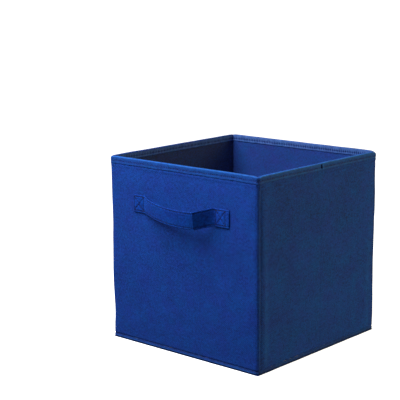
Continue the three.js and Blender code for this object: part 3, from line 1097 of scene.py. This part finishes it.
def build_insert():
    """The loose base insert: a board in a sewn cloth cover, a top cap and a bottom sheet."""
    low, high = box_mm("insert_top_cover")
    half = (high.x - low.x) / 2
    centre_y = (high.y + low.y) / 2
    grid = cap_grid(half)
    x, y, drop = cap_points(half, EDGE_ROUND, grid)
    from_edge = half - np.maximum(np.abs(x), np.abs(y))
    swell = 0.14 * slack(x * 2 + 300, y * 2) + 0.1 * ripple(x + 200, y)
    sewn = bump(from_edge, INSERT_STITCH, 1.0)
    z = high.z - drop - 0.22 * sewn + (swell - 0.2) * step(from_edge, 5, 30)
    thin = CLOTH * 0.8
    inner_x, inner_y, inner_drop = cap_points(half - thin, EDGE_ROUND - thin, grid)
    inner_z = np.minimum(high.z - thin - inner_drop, z - 0.15)
    wear_and_light = 0.5 * bump(from_edge, 0, 1.6) - 0.4 * sewn
    piece = Piece()
    piece.shell(xyz(x, y + centre_y, z), xyz(inner_x, inner_y + centre_y, inner_z), xyz(x, y, wear_and_light))
    sew_insert(piece, half - INSERT_STITCH, centre_y, high.z - 0.25)
    top = finished(piece, "insert_top_cloth", [INSERT, THREAD], ["insert"],
                   replaced=["insert_top_cover"])
    build_insert_bottom()


def sew_insert(piece, half, centre_y, z):
    """A stitch row round the top of the insert."""
    pitch = 4.0
    count = int(2 * half / pitch)
    for k in range(count):
        run = -half + (k + 0.5) * 2 * half / count
        for x, y, way in ((run, -half, (1, 0, 0)), (run, half, (1, 0, 0)),
                          (-half, run, (0, 1, 0)), (half, run, (0, 1, 0))):
            centre = np.array([x, y + centre_y, z])
            reach = np.array(way) * 1.45
            piece.stitch(centre - reach, centre + reach, np.array([0, 0, 1.0]), (run, 0, 0.2))


def build_insert_bottom():
    low, high = box_mm("insert_bottom_cover")
    x, y = flat_grid(low, high, 50)
    lift = np.clip(0.05 + 0.05 * ripple(x + 50, y), 0, 0.15)
    piece = flat_piece(x, y, high.z + lift, low.z + lift, 0)
    obj = finished(piece, "insert_bottom_cloth", [INSERT], ["insert"],
                   replaced=["insert_bottom_cover"])


build_base_cloth()
build_insert()

# The boards keep their CAD shape, inside the cloth, and get the look of cardboard.
for node_name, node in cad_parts.items():
    if node_name.endswith("_board"):
        node.data.materials.clear()
        node.data.materials.append(CARDBOARD)


# ---- Stage, light and camera ----

def build_floor():
    size = 40.0
    points = np.array([(-1, -1, 0), (1, -1, 0), (1, 1, 0), (-1, 1, 0)]) * size
    mesh = bpy.data.meshes.new("floor")
    mesh.from_pydata(points - (0, 0, 0.0002), [], [(0, 1, 2, 3)])
    mesh.materials.append(floor_material("pale floor"))
    floor = new_object("floor", mesh)
    floor.visible_diffuse = False
    floor.visible_glossy = False


def area_light(name, place, aim, size, power, colour):
    light = bpy.data.lights.new(name, "AREA")
    light.shape = "RECTANGLE"
    light.size, light.size_y = size
    light.energy = power
    light.color = colour
    lamp = new_object(name, light)
    lamp.location = place
    lamp.rotation_euler = (Vector(aim) - Vector(place)).to_track_quat("-Z", "Y").to_euler()


def build_light():
    world = bpy.data.worlds.new("studio")
    world.use_nodes = True
    background = world.node_tree.nodes["Background"]
    background.inputs["Color"].default_value = (1.0, 0.9, 0.8, 1)
    background.inputs["Strength"].default_value = 0.18
    bpy.context.scene.world = world
    area_light("key", (-0.29, -0.64, 1.0), (0, -0.1, 0.18), (0.85, 0.7), 15.8, (0.84, 0.93, 1.0))
    area_light("overhead", (-0.08, -0.42, 1.3), (0, 0.1, 0.2), (0.3, 0.3), 4, (0.9, 0.95, 1.0))
    area_light("fill", (1.5, 0.8, 0.6), (0.1, 0, 0.14), (0.8, 0.8), 18, (1.0, 0.82, 0.4))


# The camera's place is given from the middle of the bin, in metres: across, up and back.
CAMERA_ANGLES = (41.22, 11.98, -0.33)    # azimuth, elevation and roll, in degrees
CAMERA_PLACE = (-0.0482, 0.0478, 1.7875)
CAMERA_LENS = 107.87
CAMERA_SHIFT = (-0.03, 0.03)


def build_camera():
    azimuth, elevation, roll = [math.radians(angle) for angle in CAMERA_ANGLES]
    turned = Matrix.Rotation(azimuth, 3, "Z") @ Matrix.Rotation(math.pi / 2 - elevation, 3, "X")
    turned = turned @ Matrix.Rotation(roll, 3, "Z")
    middle = Vector((0, (FRONT + BACK) / 2, TOP / 2)) * MM
    lens = bpy.data.cameras.new("camera")
    lens.sensor_width = 36
    lens.lens = CAMERA_LENS
    lens.shift_x, lens.shift_y = CAMERA_SHIFT
    camera = new_object("camera", lens)
    place = middle + turned @ Vector(CAMERA_PLACE)
    camera.matrix_world = Matrix.Translation(place) @ turned.to_4x4()
    bpy.context.scene.camera = camera


build_floor()
build_light()
build_camera()
bpy.context.scene.view_settings.view_transform = "Standard"
